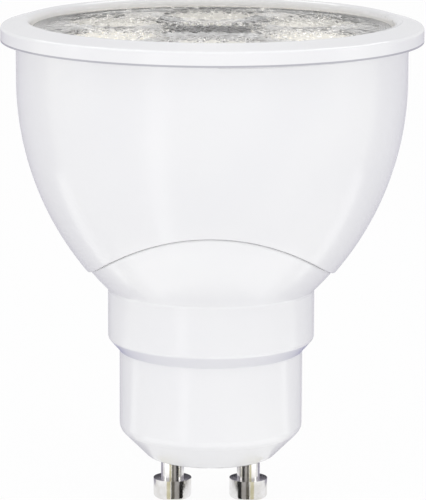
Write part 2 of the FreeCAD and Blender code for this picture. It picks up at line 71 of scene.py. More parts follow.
def add_node(tree, kind, settings={}, links={}):
    """Adds a node: settings are its fields or input values, links are the sockets that feed its inputs."""
    node = tree.nodes.new("ShaderNode" + kind)
    for key, value in settings.items():
        if isinstance(key, str) and hasattr(node, key):
            setattr(node, key, value)
        else:
            node.inputs[key].default_value = value
    for key, socket in links.items():
        tree.links.new(socket, node.inputs[key])
    return node


def new_material(name):
    """Empty node material and its tree."""
    material = bpy.data.materials.new(name)
    material.use_nodes = True
    material.node_tree.nodes.clear()
    return material, material.node_tree


def per_mm(width):
    """Texture scale, per metre, of a pattern this many millimetres wide."""
    return 1000 / width


def finish(node, material):
    """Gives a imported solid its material."""
    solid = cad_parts[node]
    solid.data.materials.clear()
    solid.data.materials.append(material)


# Moulded polycarbonate: near-white with a trace of violet, an even satin skin with a fine eroded
# grain of a third of a millimetre, and slow unevenness where the wall cooled.
white_polycarbonate, tree = new_material("white_moulded_polycarbonate")
place = add_node(tree, "TexCoord")
skin = add_node(tree, "TexNoise", {"Scale": per_mm(0.35), "Detail": 2.0}, {"Vector": place.outputs["Object"]})
cooling = add_node(tree, "TexNoise", {"Scale": per_mm(14), "Detail": 1.0},
                   {"Vector": place.outputs["Object"]})
tone = add_node(tree, "ValToRGB", {}, {"Fac": cooling.outputs["Fac"]})
tone.color_ramp.elements[0].position = 0.3
tone.color_ramp.elements[0].color = linear("#f1f1f2")
tone.color_ramp.elements[1].position = 0.7
tone.color_ramp.elements[1].color = linear("#f4f4f4")
gloss = add_node(tree, "MapRange", {"To Min": 0.15, "To Max": 0.22}, {"Value": skin.outputs["Fac"]})
wave = add_node(tree, "Bump", {"Strength": 0.3, "Distance": 0.06 * mm}, {"Height": cooling.outputs["Fac"]})
grain = add_node(tree, "Bump", {"Strength": 0.08, "Distance": 0.01 * mm},
                 {"Height": skin.outputs["Fac"], "Normal": wave.outputs["Normal"]})
plastic = add_node(tree, "BsdfPrincipled", {"IOR": 1.58},
                   {"Base Color": tone.outputs["Color"], "Roughness": gloss.outputs["Result"],
                    "Normal": grain.outputs["Normal"]})
add_node(tree, "OutputMaterial", {}, {"Surface": plastic.outputs["BSDF"]})
finish("lower_body", white_polycarbonate)

# Contact pins: brass turned on a lathe, then nickel-plated, pressed through the cap's floor.
# Two alike, with a thick head under a thin neck for the lampholder's twist-lock slots.

# Bright nickel: a warm grey mirror, slightly scratched round by the lathe tool, with finger marks.
nickel, tree = new_material("bright_nickel_plate")
place = add_node(tree, "TexCoord")
turning = add_node(tree, "TexWave", {"bands_direction": "Z", "Scale": per_mm(0.3), "Distortion": 1.0},
                   {"Vector": place.outputs["Object"]})
smudge = add_node(tree, "TexNoise", {"Scale": per_mm(1.6), "Detail": 3.0},
                  {"Vector": place.outputs["Object"]})
tarnish = add_node(tree, "ValToRGB", {}, {"Fac": smudge.outputs["Fac"]})
tarnish.color_ramp.elements[0].position = 0.35
tarnish.color_ramp.elements[0].color = linear("#dddbd8")
tarnish.color_ramp.elements[1].position = 0.65
tarnish.color_ramp.elements[1].color = linear("#eeedee")
polish = add_node(tree, "MapRange", {"To Min": 0.12, "To Max": 0.26}, {"Value": smudge.outputs["Fac"]})
scratches = add_node(tree, "Bump", {"Strength": 0.1, "Distance": 0.01 * mm},
                     {"Height": turning.outputs["Fac"]})
metal = add_node(tree, "BsdfPrincipled", {"Metallic": 1.0},
                 {"Base Color": tarnish.outputs["Color"], "Roughness": polish.outputs["Result"],
                  "Normal": scratches.outputs["Normal"]})
add_node(tree, "OutputMaterial", {}, {"Surface": metal.outputs["BSDF"]})
for pin in ("contact_pin_left", "contact_pin_right"):
    finish(pin, nickel)

# Driver board: the circuit board that turns mains into the LEDs' current, glass laminate with copper tracks
# under a green mask, slid on edge into the cap's guide rails.

# Green solder mask: dark green and glossy, with the glass cloth's half-millimetre weave showing through.
laminate, tree = new_material("green_glass_laminate")
place = add_node(tree, "TexCoord")
weave = add_node(tree, "TexChecker", {"Scale": per_mm(0.5)}, {"Vector": place.outputs["Object"]})
dust = add_node(tree, "TexNoise", {"Scale": per_mm(3), "Detail": 3.0}, {"Vector": place.outputs["Object"]})
tone = add_node(tree, "ValToRGB", {}, {"Fac": dust.outputs["Fac"]})
tone.color_ramp.elements[0].color = linear("#1d5433")
tone.color_ramp.elements[1].color = linear("#27663f")
gloss = add_node(tree, "MapRange", {"To Min": 0.25, "To Max": 0.4}, {"Value": dust.outputs["Fac"]})
cloth = add_node(tree, "Bump", {"Strength": 0.15, "Distance": 0.01 * mm}, {"Height": weave.outputs["Fac"]})
mask = add_node(tree, "BsdfPrincipled", {"IOR": 1.5},
                {"Base Color": tone.outputs["Color"], "Roughness": gloss.outputs["Result"],
                 "Normal": cloth.outputs["Normal"]})
add_node(tree, "OutputMaterial", {}, {"Surface": mask.outputs["BSDF"]})
finish("driver_board", laminate)

# Mains leads: two stiff copper wires, tinned, from the contact pins to the driver board.
# Each is pushed into its pin and soldered to the board's foot.

# Tinned copper: a soft grey metal, dulled in patches where the tin has been heated.
tin, tree = new_material("tinned_copper")
place = add_node(tree, "TexCoord")
dulling = add_node(tree, "TexNoise", {"Scale": per_mm(0.8), "Detail": 3.0},
                   {"Vector": place.outputs["Object"]})
dull = add_node(tree, "MapRange", {"To Min": 0.25, "To Max": 0.5}, {"Value": dulling.outputs["Fac"]})
ripple = add_node(tree, "Bump", {"Strength": 0.15, "Distance": 0.02 * mm}, {"Height": dulling.outputs["Fac"]})
metal = add_node(tree, "BsdfPrincipled", {"Base Color": linear("#d9d7d1"), "Metallic": 1.0},
                 {"Roughness": dull.outputs["Result"], "Normal": ripple.outputs["Normal"]})
add_node(tree, "OutputMaterial", {}, {"Surface": metal.outputs["BSDF"]})
finish("mains_leads", tin)

# Fuse resistor: a ceramic rod with a metal film that burns through on overload.
# It is dipped in lacquer and soldered to the board in the mains lead's path.

# Baked lacquer: blue-green, pooled a little thicker in slow waves.
lacquer, tree = new_material("baked_lacquer")
place = add_node(tree, "TexCoord")
pooling = add_node(tree, "TexNoise", {"Scale": per_mm(1.2), "Detail": 2.0},
                   {"Vector": place.outputs["Object"]})
tone = add_node(tree, "ValToRGB", {}, {"Fac": pooling.outputs["Fac"]})
tone.color_ramp.elements[0].color = linear("#85aea4")
tone.color_ramp.elements[1].color = linear("#97c0b4")
gloss = add_node(tree, "MapRange", {"To Min": 0.2, "To Max": 0.35}, {"Value": pooling.outputs["Fac"]})
waves = add_node(tree, "Bump", {"Strength": 0.2, "Distance": 0.03 * mm}, {"Height": pooling.outputs["Fac"]})
coat = add_node(tree, "BsdfPrincipled", {"IOR": 1.5},
                {"Base Color": tone.outputs["Color"], "Roughness": gloss.outputs["Result"],
                 "Normal": waves.outputs["Normal"]})
add_node(tree, "OutputMaterial", {}, {"Surface": coat.outputs["BSDF"]})
finish("fuse_resistor", lacquer)

# Input choke and transformer core: ferrite powder, pressed and sintered, then ground on the mating faces.
# The choke is soldered to the board by its leads, and the core is held by the bobbin.

# Sintered ferrite: nearly black grey with a dry, pitted skin.
ferrite, tree = new_material("sintered_ferrite")
place = add_node(tree, "TexCoord")
pits = add_node(tree, "TexNoise", {"Scale": per_mm(0.25), "Detail": 4.0}, {"Vector": place.outputs["Object"]})
tone = add_node(tree, "ValToRGB", {}, {"Fac": pits.outputs["Fac"]})
tone.color_ramp.elements[0].color = linear("#4c4c50")
tone.color_ramp.elements[1].color = linear("#5c5c60")
dry = add_node(tree, "MapRange", {"To Min": 0.55, "To Max": 0.75}, {"Value": pits.outputs["Fac"]})
skin = add_node(tree, "Bump", {"Strength": 0.3, "Distance": 0.02 * mm}, {"Height": pits.outputs["Fac"]})
stone = add_node(tree, "BsdfPrincipled", {"IOR": 1.6},
                 {"Base Color": tone.outputs["Color"], "Roughness": dry.outputs["Result"],
                  "Normal": skin.outputs["Normal"]})
add_node(tree, "OutputMaterial", {}, {"Surface": stone.outputs["BSDF"]})
for piece in ("input_choke", "transformer_core"):
    finish(piece, ferrite)

# Input and output capacitors: aluminium cans, drawn and rolled shut, in a shrunk plastic sleeve.
# Each stands on two wires that are soldered to the board.

# Shrunk sleeve: dark blue and glossy, drawn tight with faint creases.
sleeve, tree = new_material("shrunk_plastic_sleeve")
place = add_node(tree, "TexCoord")
creases = add_node(tree, "TexNoise", {"Scale": per_mm(1.5), "Detail": 2.0},
                   {"Vector": place.outputs["Object"]})
tone = add_node(tree, "ValToRGB", {}, {"Fac": creases.outputs["Fac"]})
tone.color_ramp.elements[0].color = linear("#3a4060")
tone.color_ramp.elements[1].color = linear("#434a6c")
gloss = add_node(tree, "MapRange", {"To Min": 0.2, "To Max": 0.35}, {"Value": creases.outputs["Fac"]})
folds = add_node(tree, "Bump", {"Strength": 0.15, "Distance": 0.03 * mm}, {"Height": creases.outputs["Fac"]})
film = add_node(tree, "BsdfPrincipled", {"IOR": 1.54},
                {"Base Color": tone.outputs["Color"], "Roughness": gloss.outputs["Result"],
                 "Normal": folds.outputs["Normal"]})
add_node(tree, "OutputMaterial", {}, {"Surface": film.outputs["BSDF"]})
for piece in ("input_capacitor", "output_capacitor"):
    finish(piece, sleeve)

# Film capacitor: a wound film in a moulded box, potted from below and soldered to the board.
# The tape round the transformer's winding is of the same yellow polyester.

# Yellow polyester: saturated and satin, with a fine crosswise grain.
polyester, tree = new_material("yellow_polyester")
place = add_node(tree, "TexCoord")
grain = add_node(tree, "TexWave", {"bands_direction": "Z", "Scale": per_mm(0.6), "Distortion": 1.5},
                 {"Vector": place.outputs["Object"]})
gloss = add_node(tree, "MapRange", {"To Min": 0.3, "To Max": 0.45}, {"Value": grain.outputs["Fac"]})
lines = add_node(tree, "Bump", {"Strength": 0.15, "Distance": 0.02 * mm}, {"Height": grain.outputs["Fac"]})
film = add_node(tree, "BsdfPrincipled", {"Base Color": linear("#e0c24f"), "IOR": 1.58},
                {"Roughness": gloss.outputs["Result"], "Normal": lines.outputs["Normal"]})
add_node(tree, "OutputMaterial", {}, {"Surface": film.outputs["BSDF"]})
for piece in ("film_capacitor", "transformer_winding"):
    finish(piece, polyester)

# Transformer bobbin: the winding's former, moulded in black nylon with flanges at its ends.
# It is pushed over the ferrite core's middle leg and soldered to the board by its pins.

# Black nylon: moulded with glass fibre, satin, with the fibres roughening the skin.
black_nylon, tree = new_material("black_moulded_nylon")
place = add_node(tree, "TexCoord")
fibres = add_node(tree, "TexNoise", {"Scale": per_mm(0.3), "Detail": 3.0},
                  {"Vector": place.outputs["Object"]})
gloss = add_node(tree, "MapRange", {"To Min": 0.35, "To Max": 0.55}, {"Value": fibres.outputs["Fac"]})
skin = add_node(tree, "Bump", {"Strength": 0.2, "Distance": 0.01 * mm}, {"Height": fibres.outputs["Fac"]})
nylon = add_node(tree, "BsdfPrincipled", {"Base Color": linear("#171920"), "IOR": 1.53},
                 {"Roughness": gloss.outputs["Result"], "Normal": skin.outputs["Normal"]})
add_node(tree, "OutputMaterial", {}, {"Surface": nylon.outputs["BSDF"]})
finish("transformer_bobbin", black_nylon)

# Rectifier, driver chip and diode: small silicon dies, moulded in black epoxy.
# Their formed legs are soldered to the board's back.

# Black epoxy: matt and even, from a spark-eroded mould.
epoxy, tree = new_material("black_moulded_epoxy")
place = add_node(tree, "TexCoord")
sparks = add_node(tree, "TexNoise", {"Scale": per_mm(0.15), "Detail": 2.0},
                  {"Vector": place.outputs["Object"]})
matt = add_node(tree, "MapRange", {"To Min": 0.5, "To Max": 0.7}, {"Value": sparks.outputs["Fac"]})
skin = add_node(tree, "Bump", {"Strength": 0.25, "Distance": 0.01 * mm}, {"Height": sparks.outputs["Fac"]})
resin = add_node(tree, "BsdfPrincipled", {"Base Color": linear("#2b2b2d"), "IOR": 1.55},
                 {"Roughness": matt.outputs["Result"], "Normal": skin.outputs["Normal"]})
add_node(tree, "OutputMaterial", {}, {"Surface": resin.outputs["BSDF"]})
for piece in ("bridge_rectifier", "driver_chip", "output_diode"):
    finish(piece, epoxy)

# Heat sink: a cup drawn from aluminium sheet, set on the neck's ledge.
# It carries the LED board and the lens, and its wall is seen through the lens.

# Drawn aluminium: bare and pale grey, with faint streaks along the draw.
aluminium, tree = new_material("drawn_aluminium")
place = add_node(tree, "TexCoord")
stretch = add_node(tree, "Mapping", {"Scale": [1.0, 1.0, 0.08]}, {"Vector": place.outputs["Object"]})
streaks = add_node(tree, "TexNoise", {"Scale": per_mm(0.5), "Detail": 2.0},
                   {"Vector": stretch.outputs["Vector"]})
draw = add_node(tree, "MapRange", {"To Min": 0.4, "To Max": 0.6}, {"Value": streaks.outputs["Fac"]})
lines = add_node(tree, "Bump", {"Strength": 0.2, "Distance": 0.02 * mm}, {"Height": streaks.outputs["Fac"]})
metal = add_node(tree, "BsdfPrincipled", {"Base Color": linear("#f5f5f4"), "Metallic": 1.0},
                 {"Roughness": draw.outputs["Result"], "Normal": lines.outputs["Normal"]})
add_node(tree, "OutputMaterial", {}, {"Surface": metal.outputs["BSDF"]})
finish("heat_sink", aluminium)

# Thermal pad: a soft silicone sheet with a ceramic filler, punched to the board's outline.
# It is pressed between the LED board and the heat sink.

# Filled silicone: grey and matt, with a slightly granular skin from the ceramic filler.
silicone_sheet, tree = new_material("filled_silicone_sheet")
place = add_node(tree, "TexCoord")
filler = add_node(tree, "TexNoise", {"Scale": per_mm(0.2), "Detail": 2.0},
                  {"Vector": place.outputs["Object"]})
matt = add_node(tree, "MapRange", {"To Min": 0.65, "To Max": 0.8}, {"Value": filler.outputs["Fac"]})
skin = add_node(tree, "Bump", {"Strength": 0.2, "Distance": 0.01 * mm}, {"Height": filler.outputs["Fac"]})
sheet = add_node(tree, "BsdfPrincipled", {"Base Color": linear("#c3c6ca"), "IOR": 1.41},
                 {"Roughness": matt.outputs["Result"], "Normal": skin.outputs["Normal"]})
add_node(tree, "OutputMaterial", {}, {"Surface": sheet.outputs["BSDF"]})
finish("thermal_pad", silicone_sheet)

# LED board: a circuit board on an aluminium core, under the lens, which carries the LEDs.
# It is punched round, coated white and screwed to the heat sink.

# White solder mask: an off-white baked coat with a light orange-peel surface.
solder_mask, tree = new_material("white_solder_mask")
place = add_node(tree, "TexCoord")
peel = add_node(tree, "TexNoise", {"Scale": per_mm(0.4), "Detail": 2.0}, {"Vector": place.outputs["Object"]})
coat = add_node(tree, "MapRange", {"To Min": 0.35, "To Max": 0.5}, {"Value": peel.outputs["Fac"]})
dimples = add_node(tree, "Bump", {"Strength": 0.2, "Distance": 0.02 * mm}, {"Height": peel.outputs["Fac"]})
mask = add_node(tree, "BsdfPrincipled", {"Base Color": linear("#f7f6f2"), "IOR": 1.5},
                {"Roughness": coat.outputs["Result"], "Normal": dimples.outputs["Normal"]})
add_node(tree, "OutputMaterial", {}, {"Surface": mask.outputs["BSDF"]})
finish("led_board", solder_mask)

# LEDs: six white packages, each with a dome of yellow phosphor in clear silicone.
# They are soldered to the board, one under each cone of the lens.

# Phosphor in silicone: egg-yolk yellow and glossy over the white package's rim.
led_base_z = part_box("leds")[0][2]
package_height = 0.7 * mm
dome_edge_z = led_base_z + package_height
edge_blend = 0.05 * package_height
phosphor, tree = new_material("led_phosphor_in_silicone")
place = add_node(tree, "TexCoord")
height = add_node(tree, "SeparateXYZ", {}, {"Vector": place.outputs["Object"]})
powder = add_node(tree, "TexNoise", {"Scale": per_mm(0.3), "Detail": 2.0},
                  {"Vector": place.outputs["Object"]})
dome = add_node(tree, "MapRange",
                {"From Min": dome_edge_z - edge_blend, "From Max": dome_edge_z + edge_blend},
                {"Value": height.outputs["Z"]})
tone = add_node(tree, "ValToRGB", {}, {"Fac": dome.outputs["Result"]})
tone.color_ramp.elements[0].color = linear("#f6f4ec")
tone.color_ramp.elements[1].color = linear("#e9c94f")
gloss = add_node(tree, "MapRange", {"To Min": 0.2, "To Max": 0.4}, {"Value": powder.outputs["Fac"]})
silicone = add_node(tree, "BsdfPrincipled", {"IOR": 1.41},
                    {"Base Color": tone.outputs["Color"], "Roughness": gloss.outputs["Result"]})
add_node(tree, "OutputMaterial", {}, {"Surface": silicone.outputs["BSDF"]})
finish("leds", phosphor)

# LED board screws: two pan-head machine screws in zinc-plated steel.
# They are driven through the board and the pad into the heat sink.

# Zinc plate on steel: pale blue-grey metal, finely brushed by tumbling.
zinc, tree = new_material("zinc_plated_steel")
place = add_node(tree, "TexCoord")
tumbling = add_node(tree, "TexNoise", {"Scale": per_mm(0.4), "Detail": 3.0},
                    {"Vector": place.outputs["Object"]})
brushed = add_node(tree, "MapRange", {"To Min": 0.25, "To Max": 0.4}, {"Value": tumbling.outputs["Fac"]})
marks = add_node(tree, "Bump", {"Strength": 0.15, "Distance": 0.01 * mm}, {"Height": tumbling.outputs["Fac"]})
metal = add_node(tree, "BsdfPrincipled", {"Base Color": linear("#cfd3d8"), "Metallic": 1.0},
                 {"Roughness": brushed.outputs["Result"], "Normal": marks.outputs["Normal"]})
add_node(tree, "OutputMaterial", {}, {"Surface": metal.outputs["BSDF"]})
finish("led_board_screws", zinc)

# LED header: a moulded connector with square pins, soldered to the driver board's top edge. It comes up
# through the deck into the pocket in the lens, where it shows as a dark strip.
finish("led_header", black_nylon)
finish("led_header_pins", tin)

# Upper shell: the bowl, moulded in the same white polycarbonate, pushed over the neck's sleeve
# so that its arched lower edge meets the neck's tongues along a thin seam.
finish("upper_shell", white_polycarbonate)

# Lens: clear acrylic, injection-moulded in one piece. A plate with a flange that the bezel's skirt holds
# down, a ring of cones that gather the LEDs' light, and a pocket in the middle that clears the header.
# Small pillows all over the top blend the LEDs' light, and fine grooves run round its edge.
flange_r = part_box("lens")[1][0]
face_inset = 0.62 * mm
face_r = flange_r - face_inset
edge_r = 0.25 * mm
top_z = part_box("lens")[1][2]
foot_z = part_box("lens")[0][2]
under_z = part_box("heat_sink")[1][2]
flange_thickness = 1.2 * mm
flange_top_z = under_z + flange_thickness
led_width = 3.2 * mm
cell_count = 6
cell_facets = 36
ring_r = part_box("leds")[1][1] - led_width / 2
cell_clearance = 0.4 * mm
cell_r = (ring_r - cell_clearance) / 2
led_clearance = 0.3 * mm
led_top_clearance = 0.9 * mm
pocket_r = led_width / math.sqrt(2) + led_clearance
pocket_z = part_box("leds")[1][2] + led_top_clearance
foot_wall = 0.6 * mm
pocket_bulge = 0.4 * mm
header_clearance = 0.4 * mm
header_top_clearance = 0.3 * mm
ridge_rise = 0.75 * mm
pillow_pitch = 1.5 * mm
pillow_jitter = 0.3 * mm
pillow_curve_r = 3.5 * mm
cell_pillow_curve_r = 1.1 * mm
strip_pillow_curve_r = 0.7 * mm
strip_margin = 1.5 * mm
groove_count = 5
groove_pitch = 0.3 * mm
groove_depth = 0.04 * mm
steps_per_groove = 6
round_steps = 480
ring_step = 0.25 * mm


def loop(radius, z, count, middle=(0, 0)):
    """Vertices of the lens round a circle."""
    turns = [2 * math.pi * i / count for i in range(count)]
    spots = [(middle[0] + radius * math.cos(a), middle[1] + radius * math.sin(a), z) for a in turns]
    return [shape.verts.new(spot) for spot in spots]


def bridge(inner, outer, smooth):
    """Quads of the lens between two loops of as many vertices."""
    for i, j in zip(range(-1, len(inner) - 1), range(len(inner))):
        shape.faces.new((inner[i], outer[i], outer[j], inner[j])).smooth = smooth


def cap(ring, z, middle=(0, 0)):
    """Closes a loop of the lens with a fan to its middle."""
    tip = shape.verts.new((middle[0], middle[1], z))
    for i, j in zip(range(-1, len(ring) - 1), range(len(ring))):
        shape.faces.new((ring[i], ring[j], tip)).smooth = True


def rim_of(ring):
    """Edges round a loop of the lens."""
    pairs = [(ring[i - 1], ring[i]) for i in range(len(ring))]
    return [shape.edges.get(pair) or shape.edges.new(pair) for pair in pairs]


shape = bmesh.new()
groove_r = face_r - edge_r - groove_count * groove_pitch
chance = random.Random(5)
rows = int(2 * groove_r / pillow_pitch)
pillows = []
for row in range(-rows, rows + 1):
    for column in range(-rows, rows + 1):
        pillows.append(((column + row % 2 / 2) * pillow_pitch + chance.uniform(-1, 1) * pillow_jitter,
                        row * pillow_pitch * math.sqrt(3) / 2 + chance.uniform(-1, 1) * pillow_jitter, 0))
tops = KDTree(len(pillows))
for index, spot in enumerate(pillows):
    tops.insert(spot, index)
tops.balance()
turns = [math.pi / 2 + 2 * math.pi * i / cell_count for i in range(cell_count)]
cell_middles = [(ring_r * math.cos(turn), ring_r * math.sin(turn)) for turn in turns]
low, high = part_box("led_header")
ring_count = round(groove_r / ring_step)
radii = [groove_r * (i + 1) / ring_count for i in range(ring_count)]
groove_steps = steps_per_groove * groove_count
radii += [groove_r + (face_r - edge_r - groove_r) * (i + 1) / groove_steps for i in range(groove_steps)]
rings = [loop(radius, top_z, round_steps) for radius in radii]
for ring, radius in zip(rings, radii):
    for vertex in ring:
        if radius <= groove_r:
            to_cell = min(math.dist(vertex.co.xy, middle) for middle in cell_middles)
            over_cell = min(max((cell_r - to_cell) / pillow_pitch, 0), 1)
            to_header = max(abs(vertex.co.x) - high[0], abs(vertex.co.y) - high[1])
            over_header = min(max((strip_margin - to_header) / pillow_pitch, 0), 1)
            bend = (1 - over_cell) / pillow_curve_r + over_cell / cell_pillow_curve_r
            bend += over_header * (1 / strip_pillow_curve_r - bend)
            vertex.co.z -= tops.find((vertex.co.x, vertex.co.y, 0))[2] ** 2 * bend / 2
        else:
            turn = 2 * math.pi * (radius - groove_r) / groove_pitch
            vertex.co.z -= groove_depth * (1 - math.cos(turn)) / 2
cap(rings[0], top_z)
for step in (1, 2, 3):
    turn = math.pi / 2 * step / 3
    radius = face_r - edge_r + edge_r * math.sin(turn)
    rings.append(loop(radius, top_z - edge_r + edge_r * math.cos(turn), round_steps))
for radius, z in ((face_r, flange_top_z), (flange_r, flange_top_z), (flange_r, under_z)):
    rings.append(loop(radius, z, round_steps))
for inner, outer in zip(rings, rings[1:]):
    bridge(inner, outer, outer[0].co.z > flange_top_z)
under_edges = rim_of(rings[-1])
for middle in cell_middles:
    profile = [(cell_r, under_z), (pocket_r + foot_wall, foot_z), (pocket_r, foot_z), (pocket_r, pocket_z)]
    cell = [loop(radius, z, cell_facets, middle) for radius, z in profile]
    under_edges += rim_of(cell[0])
    for share in (0.8, 0.5, 0.25):
        cell.append(loop(pocket_r * share, pocket_z - pocket_bulge * (1 - share ** 2), cell_facets, middle))
    for outer, inner in zip(cell, cell[1:]):
        bridge(inner, outer, False)
    cap(cell[-1], pocket_z - pocket_bulge, middle)
left, right = low[0] - header_clearance, high[0] + header_clearance
front, back = low[1] - header_clearance, high[1] + header_clearance
corners = [(left, front), (right, front), (right, back), (left, back)]
mouth = [shape.verts.new((x, y, under_z)) for x, y in corners]
eaves = [shape.verts.new((x, y, high[2] + header_top_clearance)) for x, y in corners]
under_edges += rim_of(mouth)
bridge(eaves, mouth, False)
ridge_y = (low[1] + high[1]) / 2
ridge = [shape.verts.new((x, ridge_y, high[2] + header_top_clearance + ridge_rise))
         for x in (left + ridge_rise, right - ridge_rise)]
for face in ((eaves[0], eaves[1], ridge[1], ridge[0]), (eaves[2], eaves[3], ridge[0], ridge[1]),
             (eaves[1], eaves[2], ridge[1]), (eaves[3], eaves[0], ridge[0])):
    shape.faces.new(face)
bmesh.ops.triangle_fill(shape, use_beauty=True, edges=under_edges, normal=(0, 0, -1))
bmesh.ops.recalc_face_normals(shape, faces=shape.faces)
lens_mesh = bpy.data.meshes.new("lens_optic")
shape.to_mesh(lens_mesh)
shape.free()
lens = bpy.data.objects.new("lens_optic", lens_mesh)
bpy.context.scene.collection.objects.link(lens)
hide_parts("lens")
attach(lens, "root")

# Polished acrylic: water-clear with a trace of warm grey, and slow ripples from the mould. Light and shadow
# rays pass straight through it, and so do rays that have been bent many times, so that the cup below isn't
# left dark.
acrylic, tree = new_material("clear_moulded_acrylic")
place = add_node(tree, "TexCoord")
flow = add_node(tree, "TexNoise", {"Scale": per_mm(4), "Detail": 2.0}, {"Vector": place.outputs["Object"]})
polish = add_node(tree, "MapRange", {"To Min": 0.01, "To Max": 0.05}, {"Value": flow.outputs["Fac"]})
ripple = add_node(tree, "Bump", {"Strength": 0.2, "Distance": 0.05 * mm}, {"Height": flow.outputs["Fac"]})
clear = add_node(tree, "BsdfPrincipled",
                 {"Base Color": linear("#fefdfa"), "IOR": 1.49, "Transmission Weight": 0.97},
                 {"Roughness": polish.outputs["Result"], "Normal": ripple.outputs["Normal"]})
rays = add_node(tree, "LightPath")
lamp_rays = add_node(tree, "Math", {"operation": "MAXIMUM"},
                     {0: rays.outputs["Is Shadow Ray"], 1: rays.outputs["Is Diffuse Ray"]})
spent = add_node(tree, "Math", {"operation": "GREATER_THAN", 1: 4.5}, {0: rays.outputs["Transmission Depth"]})
lamp_rays = add_node(tree, "Math", {"operation": "MAXIMUM"}, {0: lamp_rays.outputs[0], 1: spent.outputs[0]})
through = add_node(tree, "BsdfTransparent", {"Color": linear("#fefdfb")})
both = add_node(tree, "MixShader", {},
                {0: lamp_rays.outputs[0], 1: clear.outputs["BSDF"], 2: through.outputs[0]})
add_node(tree, "OutputMaterial", {}, {"Surface": both.outputs[0]})
lens_mesh.materials.append(acrylic)

# Bezel ring: a white ring, moulded in the shell's polycarbonate with a rounded lip.
# Its skirt is plugged into the bowl's rim and holds the lens's flange down.

# Moulded polycarbonate again, with a thin grey band painted along the lower edge as painted shadow of the gap
# under the bezel's overhang.
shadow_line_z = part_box("upper_shell")[1][2]
shadow_line_height = 0.3 * mm
bezel_plastic = white_polycarbonate.copy()
bezel_plastic.name = "white_moulded_polycarbonate_with_painted_shadow_line"
tree = bezel_plastic.node_tree
place = add_node(tree, "TexCoord")
height = add_node(tree, "SeparateXYZ", {}, {"Vector": place.outputs["Object"]})
above = add_node(tree, "MapRange", {"From Min": shadow_line_z, "From Max": shadow_line_z + shadow_line_height},
                 {"Value": height.outputs["Z"]})
painted_shadow_stripe = add_node(tree, "ValToRGB", {}, {"Fac": above.outputs["Result"]})
painted_shadow_stripe.color_ramp.elements[0].position = 0.05
painted_shadow_stripe.color_ramp.elements[1].position = 0.1
painted_shadow_stripe.color_ramp.elements.new(0.8)
painted_shadow_stripe.color_ramp.elements.new(0.95)
# The grey middle of this ramp is painted shadow: a dark line just above the bowl's rim, multiplied into the
# bezel's colour.
for element, colour in zip(painted_shadow_stripe.color_ramp.elements, ("#ffffff", "#c1c0c7", "#c1c0c7", "#ffffff")):
    element.color = linear(colour)
plastic = tree.nodes["Principled BSDF"]
tone = plastic.inputs["Base Color"].links[0].from_socket
shadow_lined = add_node(tree, "Mix", {"data_type": "RGBA", "blend_type": "MULTIPLY", 0: 1.0},
                 {6: tone, 7: painted_shadow_stripe.outputs["Color"]})
tree.links.new(shadow_lined.outputs[2], plastic.inputs["Base Color"])
finish("bezel_ring", bezel_plastic)

# Studio: a white table that runs on behind as the backdrop, lit by an even sky.
# Soft lights stand low in front, high in front and at both sides, and cards give the glossy surfaces
# their bands.
floor_z = cad_box[0][2]
floor_mesh = bpy.data.meshes.new("table")
reach = 3.0
floor_mesh.from_pydata([(-reach, -reach, floor_z), (reach, -reach, floor_z), (reach, reach, floor_z),
                        (-reach, reach, floor_z)], [], [(0, 1, 2, 3)])
table = bpy.data.objects.new("table", floor_mesh)
bpy.context.scene.collection.objects.link(table)
white_table, tree = new_material("white_table")
rays = add_node(tree, "LightPath")
seen = add_node(tree, "Math", {"operation": "MAXIMUM"},
                {0: rays.outputs["Is Camera Ray"], 1: rays.outputs["Is Glossy Ray"]})
seen = add_node(tree, "Math", {"operation": "MAXIMUM"},
                {0: seen.outputs[0], 1: rays.outputs["Is Transmission Ray"]})
paint = add_node(tree, "BsdfDiffuse", {"Color": linear("#fcfcfc")})
glow = add_node(tree, "Emission", {"Color": linear("#ffffff"), "Strength": 1.0})
bright = add_node(tree, "MixShader", {0: 0.94}, {1: paint.outputs[0], 2: glow.outputs[0]})
both = add_node(tree, "MixShader", {}, {0: seen.outputs[0], 1: paint.outputs[0], 2: bright.outputs[0]})
add_node(tree, "OutputMaterial", {}, {"Surface": both.outputs[0]})
floor_mesh.materials.append(white_table)

world = bpy.data.worlds.new("studio")
world.use_nodes = True
world.node_tree.nodes.clear()
rays = add_node(world.node_tree, "LightPath")
sky = add_node(world.node_tree, "Background", {"Color": linear("#f6f6f8"), "Strength": 0.865})
backdrop = add_node(world.node_tree, "Background", {"Color": linear("#ffffff"), "Strength": 1.0})
both = add_node(world.node_tree, "MixShader", {},
                {0: rays.outputs["Is Camera Ray"], 1: sky.outputs[0], 2: backdrop.outputs[0]})
add_node(world.node_tree, "OutputWorld", {}, {"Surface": both.outputs[0]})
bpy.context.scene.world = world


def soft_box(name, place, aim, width, height, power):
    """Flat soft light at place, turned to aim."""
    lamp = bpy.data.lights.new(name, "AREA")
    lamp.shape = "RECTANGLE"
    lamp.size = width
    lamp.size_y = height
    lamp.energy = power
    light = bpy.data.objects.new(name, lamp)
    light.location = place
    direction = Vector(aim) - Vector(place)
    light.rotation_euler = direction.to_track_quat("-Z", "Y").to_euler()
    bpy.context.scene.collection.objects.link(light)


middle = (0, 0, 0.03)
soft_box("front_soft_box", (0, -0.7, 0.04), aim=(0, 0, 0), width=0.9, height=0.08, power=0.68)
soft_box("top_soft_box", (0, -0.4, 0.75), aim=middle, width=0.4, height=0.4, power=0.5)
soft_box("left_soft_box", (-0.45, -0.1, 0.09), aim=middle, width=0.12, height=0.16, power=0.1)
soft_box("right_soft_box", (0.45, -0.1, 0.09), aim=middle, width=0.12, height=0.16, power=0.12)

